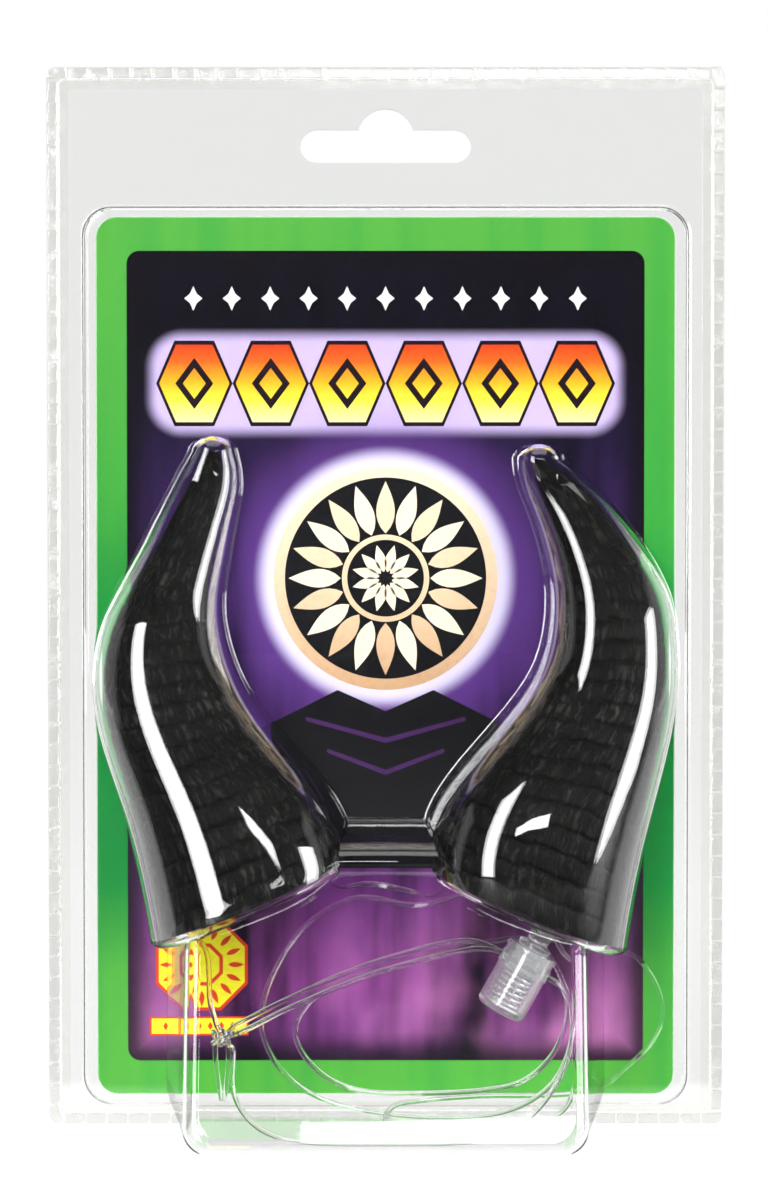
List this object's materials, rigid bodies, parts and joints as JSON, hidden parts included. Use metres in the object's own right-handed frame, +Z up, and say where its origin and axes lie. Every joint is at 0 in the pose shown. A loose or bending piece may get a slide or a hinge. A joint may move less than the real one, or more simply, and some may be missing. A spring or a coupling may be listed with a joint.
{
  "type": "devil horns on an elastic cord in a clear blister pack with a card",
  "caption": "Two hollow ringed black horns on clear elastic cords with a sprung cord lock, in a clear stand-up blister pack over a printed card.",
  "frame": {"origin": "middle of the pack's footprint on the floor, halfway between the back sheet and the foot's front edge", "axes": "+Z up along the card, front of the pack towards -Y, +X to the right as seen from the front"},
  "size_m": [0.127, 0.034, 0.1986],
  "materials": {
    "clear_sheet": "clear thermoformed PET sheet",
    "printed_card": "printed card, satin",
    "black_vinyl": "black vinyl, semi-gloss with growth rings",
    "clear_elastic": "clear round elastic cord",
    "clear_plastic": "clear moulded plastic",
    "spring_steel": "bright spring wire"
  },
  "bodies": {
    "pack": {"pack_back": "clear_sheet", "pack_front": "clear_sheet", "card": "printed_card", "horn_left": "black_vinyl", "horn_right": "black_vinyl", "head_cord": "clear_elastic", "chin_cord": "clear_elastic", "cord_knot": "clear_elastic", "lock_barrel": "clear_plastic", "lock_spring": "spring_steel"},
    "plunger": {"lock_plunger": "clear_plastic"}
  },
  "joints": [
    {"name": "lock_press", "type": "slide", "parent": "pack", "child": "plunger", "axis": [-0.4848, 0, -0.8746], "range_m": [0, 0.003], "stiffness_N_per_m": 300, "springref_m": -0.003, "deforming": ["lock_spring"]}
  ]
}
